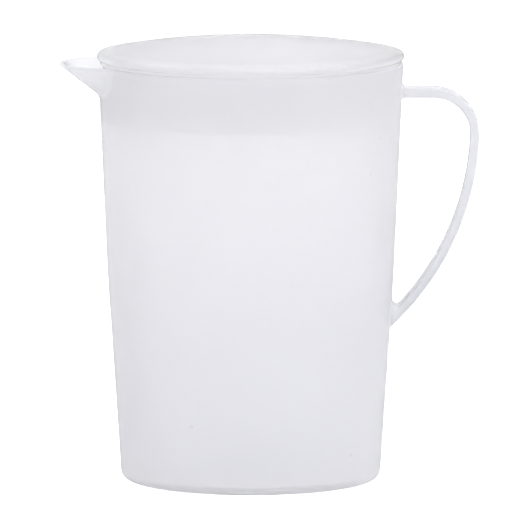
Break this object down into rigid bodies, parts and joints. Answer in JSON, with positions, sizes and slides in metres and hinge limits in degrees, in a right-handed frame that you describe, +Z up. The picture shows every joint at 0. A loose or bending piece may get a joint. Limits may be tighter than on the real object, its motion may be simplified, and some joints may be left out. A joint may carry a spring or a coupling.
{
  "type": "pitcher with lid",
  "caption": "Tall tapered pitcher in frosted plastic, with a domed plug-in lid, a short pouring spout blended into the rim and an open strap handle opposite it.",
  "frame": {"origin": "centre of the ring under the base that the jug stands on, on the axis of its wall", "axes": "+Z up through the lid's crown, +X towards the handle, -X towards the spout's tip, +Y to the side that mirrors the -Y side"},
  "size_m": [0.1846, 0.1354, 0.1953],
  "materials": {
    "jug_plastic": "frosted, translucent, satin polypropylene",
    "lid_plastic": "frosted, translucent, satin polypropylene"
  },
  "bodies": {
    "root": {"jug": "jug_plastic", "lid": "lid_plastic"}
  },
  "joints": []
}
